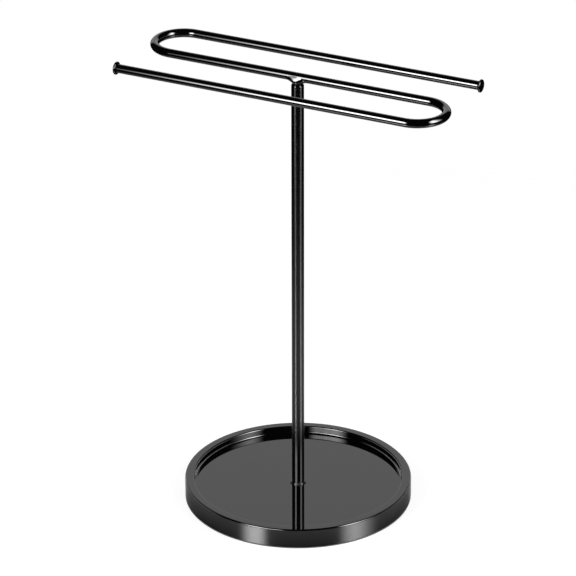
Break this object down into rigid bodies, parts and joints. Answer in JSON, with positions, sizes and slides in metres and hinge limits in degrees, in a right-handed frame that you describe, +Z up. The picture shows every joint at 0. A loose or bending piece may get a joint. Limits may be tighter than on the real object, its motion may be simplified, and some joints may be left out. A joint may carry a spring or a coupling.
{
  "type": "countertop towel stand",
  "caption": "Countertop towel stand: an S-bent towel bar with button ends on a slim round post, over a weighted round tray with a flat raised rim, in gloss black.",
  "frame": {"origin": "on the counter, at the centre of the base under the post", "axes": "+Z up along the post, X along the runs of the towel bar, the front run at -Y"},
  "size_m": [0.2474, 0.165, 0.3335],
  "materials": {
    "black_lacquer": "gloss black lacquer on steel",
    "zinc_steel": "bright zinc plated steel",
    "ballast_iron": "cast iron, dip painted",
    "pad_foam": "closed-cell foam"
  },
  "bodies": {
    "root": {"towel_bar": "black_lacquer", "front_end_button": "black_lacquer", "back_end_button": "black_lacquer", "post_top_plug": "black_lacquer", "post_tube": "black_lacquer", "foot_ring": "black_lacquer", "base_tray": "black_lacquer", "post_foot_plug": "zinc_steel", "base_screw": "zinc_steel", "spring_washer": "zinc_steel", "flat_washer": "zinc_steel", "ballast_plate": "ballast_iron", "base_pad": "pad_foam"}
  },
  "joints": []
}
